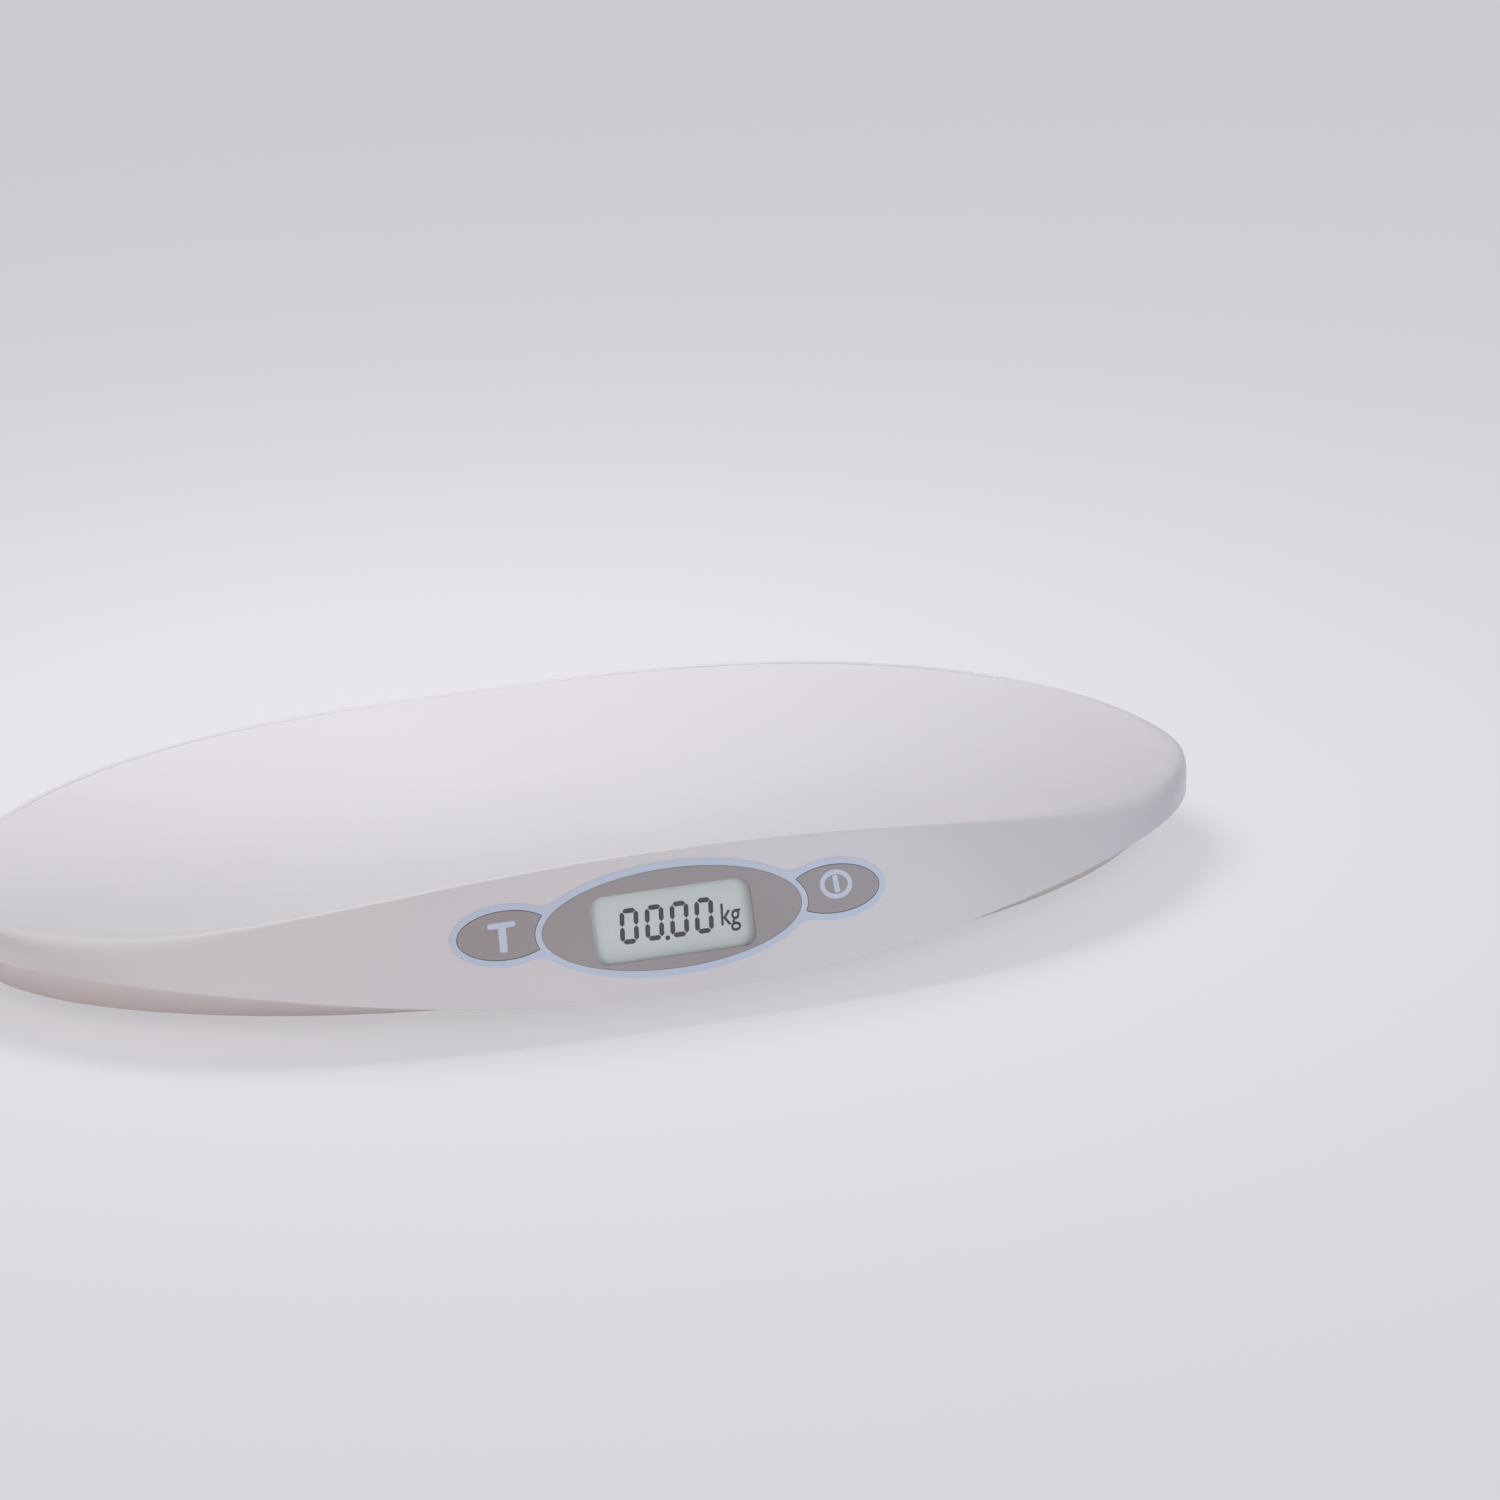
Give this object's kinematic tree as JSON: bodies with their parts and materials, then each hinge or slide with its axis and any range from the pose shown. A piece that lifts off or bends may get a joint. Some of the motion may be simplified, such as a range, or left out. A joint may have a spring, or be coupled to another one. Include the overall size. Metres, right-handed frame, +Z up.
{
  "type": "digital baby weighing scale",
  "caption": "Low battery-run baby weighing scale: a long shallow boat-shaped tray whose front edge folds down into a leaning face with a display window, a tare key and a power key.",
  "frame": {"origin": "centre of the four feet, on the surface that the scale stands on", "axes": "+X along the tray towards the power key, -Y towards the user and the leaning front face, +Z up"},
  "size_m": [0.6, 0.314, 0.0755],
  "materials": {
    "white_shell": "satin, warm white",
    "grey_casing": "fine matt, light warm grey",
    "pale_blue": "satin, pale blue",
    "panel_grey": "satin, grey",
    "clear_window": "clear, polished",
    "display_glass": "grey-green display glass",
    "white_frame": "matt white",
    "black_rubber": "matt black",
    "board_green": "satin green solder mask",
    "black_part": "matt black",
    "connector_white": "matt ivory",
    "bare_aluminium": "milled",
    "zinc_steel": "zinc plated",
    "nickel": "nickel plated",
    "foot_grey": "matt grey",
    "battery_jacket": "plain dark jacket, unprinted"
  },
  "bodies": {
    "housing": {"tray_shell": "white_shell", "lower_casing": "grey_casing", "panel_border": "pale_blue", "display_fascia": "panel_grey", "display_lens": "clear_window", "tare_switch": "black_part", "power_switch": "black_part", "lcd_glass": "display_glass", "lcd_holder": "white_frame", "lcd_contact_strips": "black_rubber", "display_board": "board_green", "board_screws": "zinc_steel", "measuring_chip": "black_part", "cell_connector": "connector_white", "buzzer": "black_part", "load_cells": "bare_aluminium", "cell_screws": "zinc_steel", "feet": "foot_grey", "foot_pads": "black_rubber", "casing_screws": "zinc_steel", "batteries": "battery_jacket", "contact_plates": "nickel", "contact_springs": "nickel"},
    "tare_key": {"tare_key": "panel_grey", "tare_plunger": "connector_white"},
    "power_key": {"power_key": "panel_grey", "power_plunger": "connector_white"},
    "battery_door": {"battery_door": "grey_casing"}
  },
  "joints": [
    {"name": "tare_press", "type": "slide", "parent": "housing", "child": "tare_key", "axis": [0, 0.9366, -0.3505], "range_m": [0, 0.0008], "stiffness_N_per_m": 1200, "springref_m": -0.0004},
    {"name": "power_press", "type": "slide", "parent": "housing", "child": "power_key", "axis": [0, 0.9366, -0.3505], "range_m": [0, 0.0008], "stiffness_N_per_m": 1200, "springref_m": -0.0004},
    {"name": "battery_door_hinge", "type": "hinge", "parent": "housing", "child": "battery_door", "pos_m": [0, 0.06865, 0.0081], "axis": [1, 0, 0], "range_deg": [0, 75]}
  ]
}
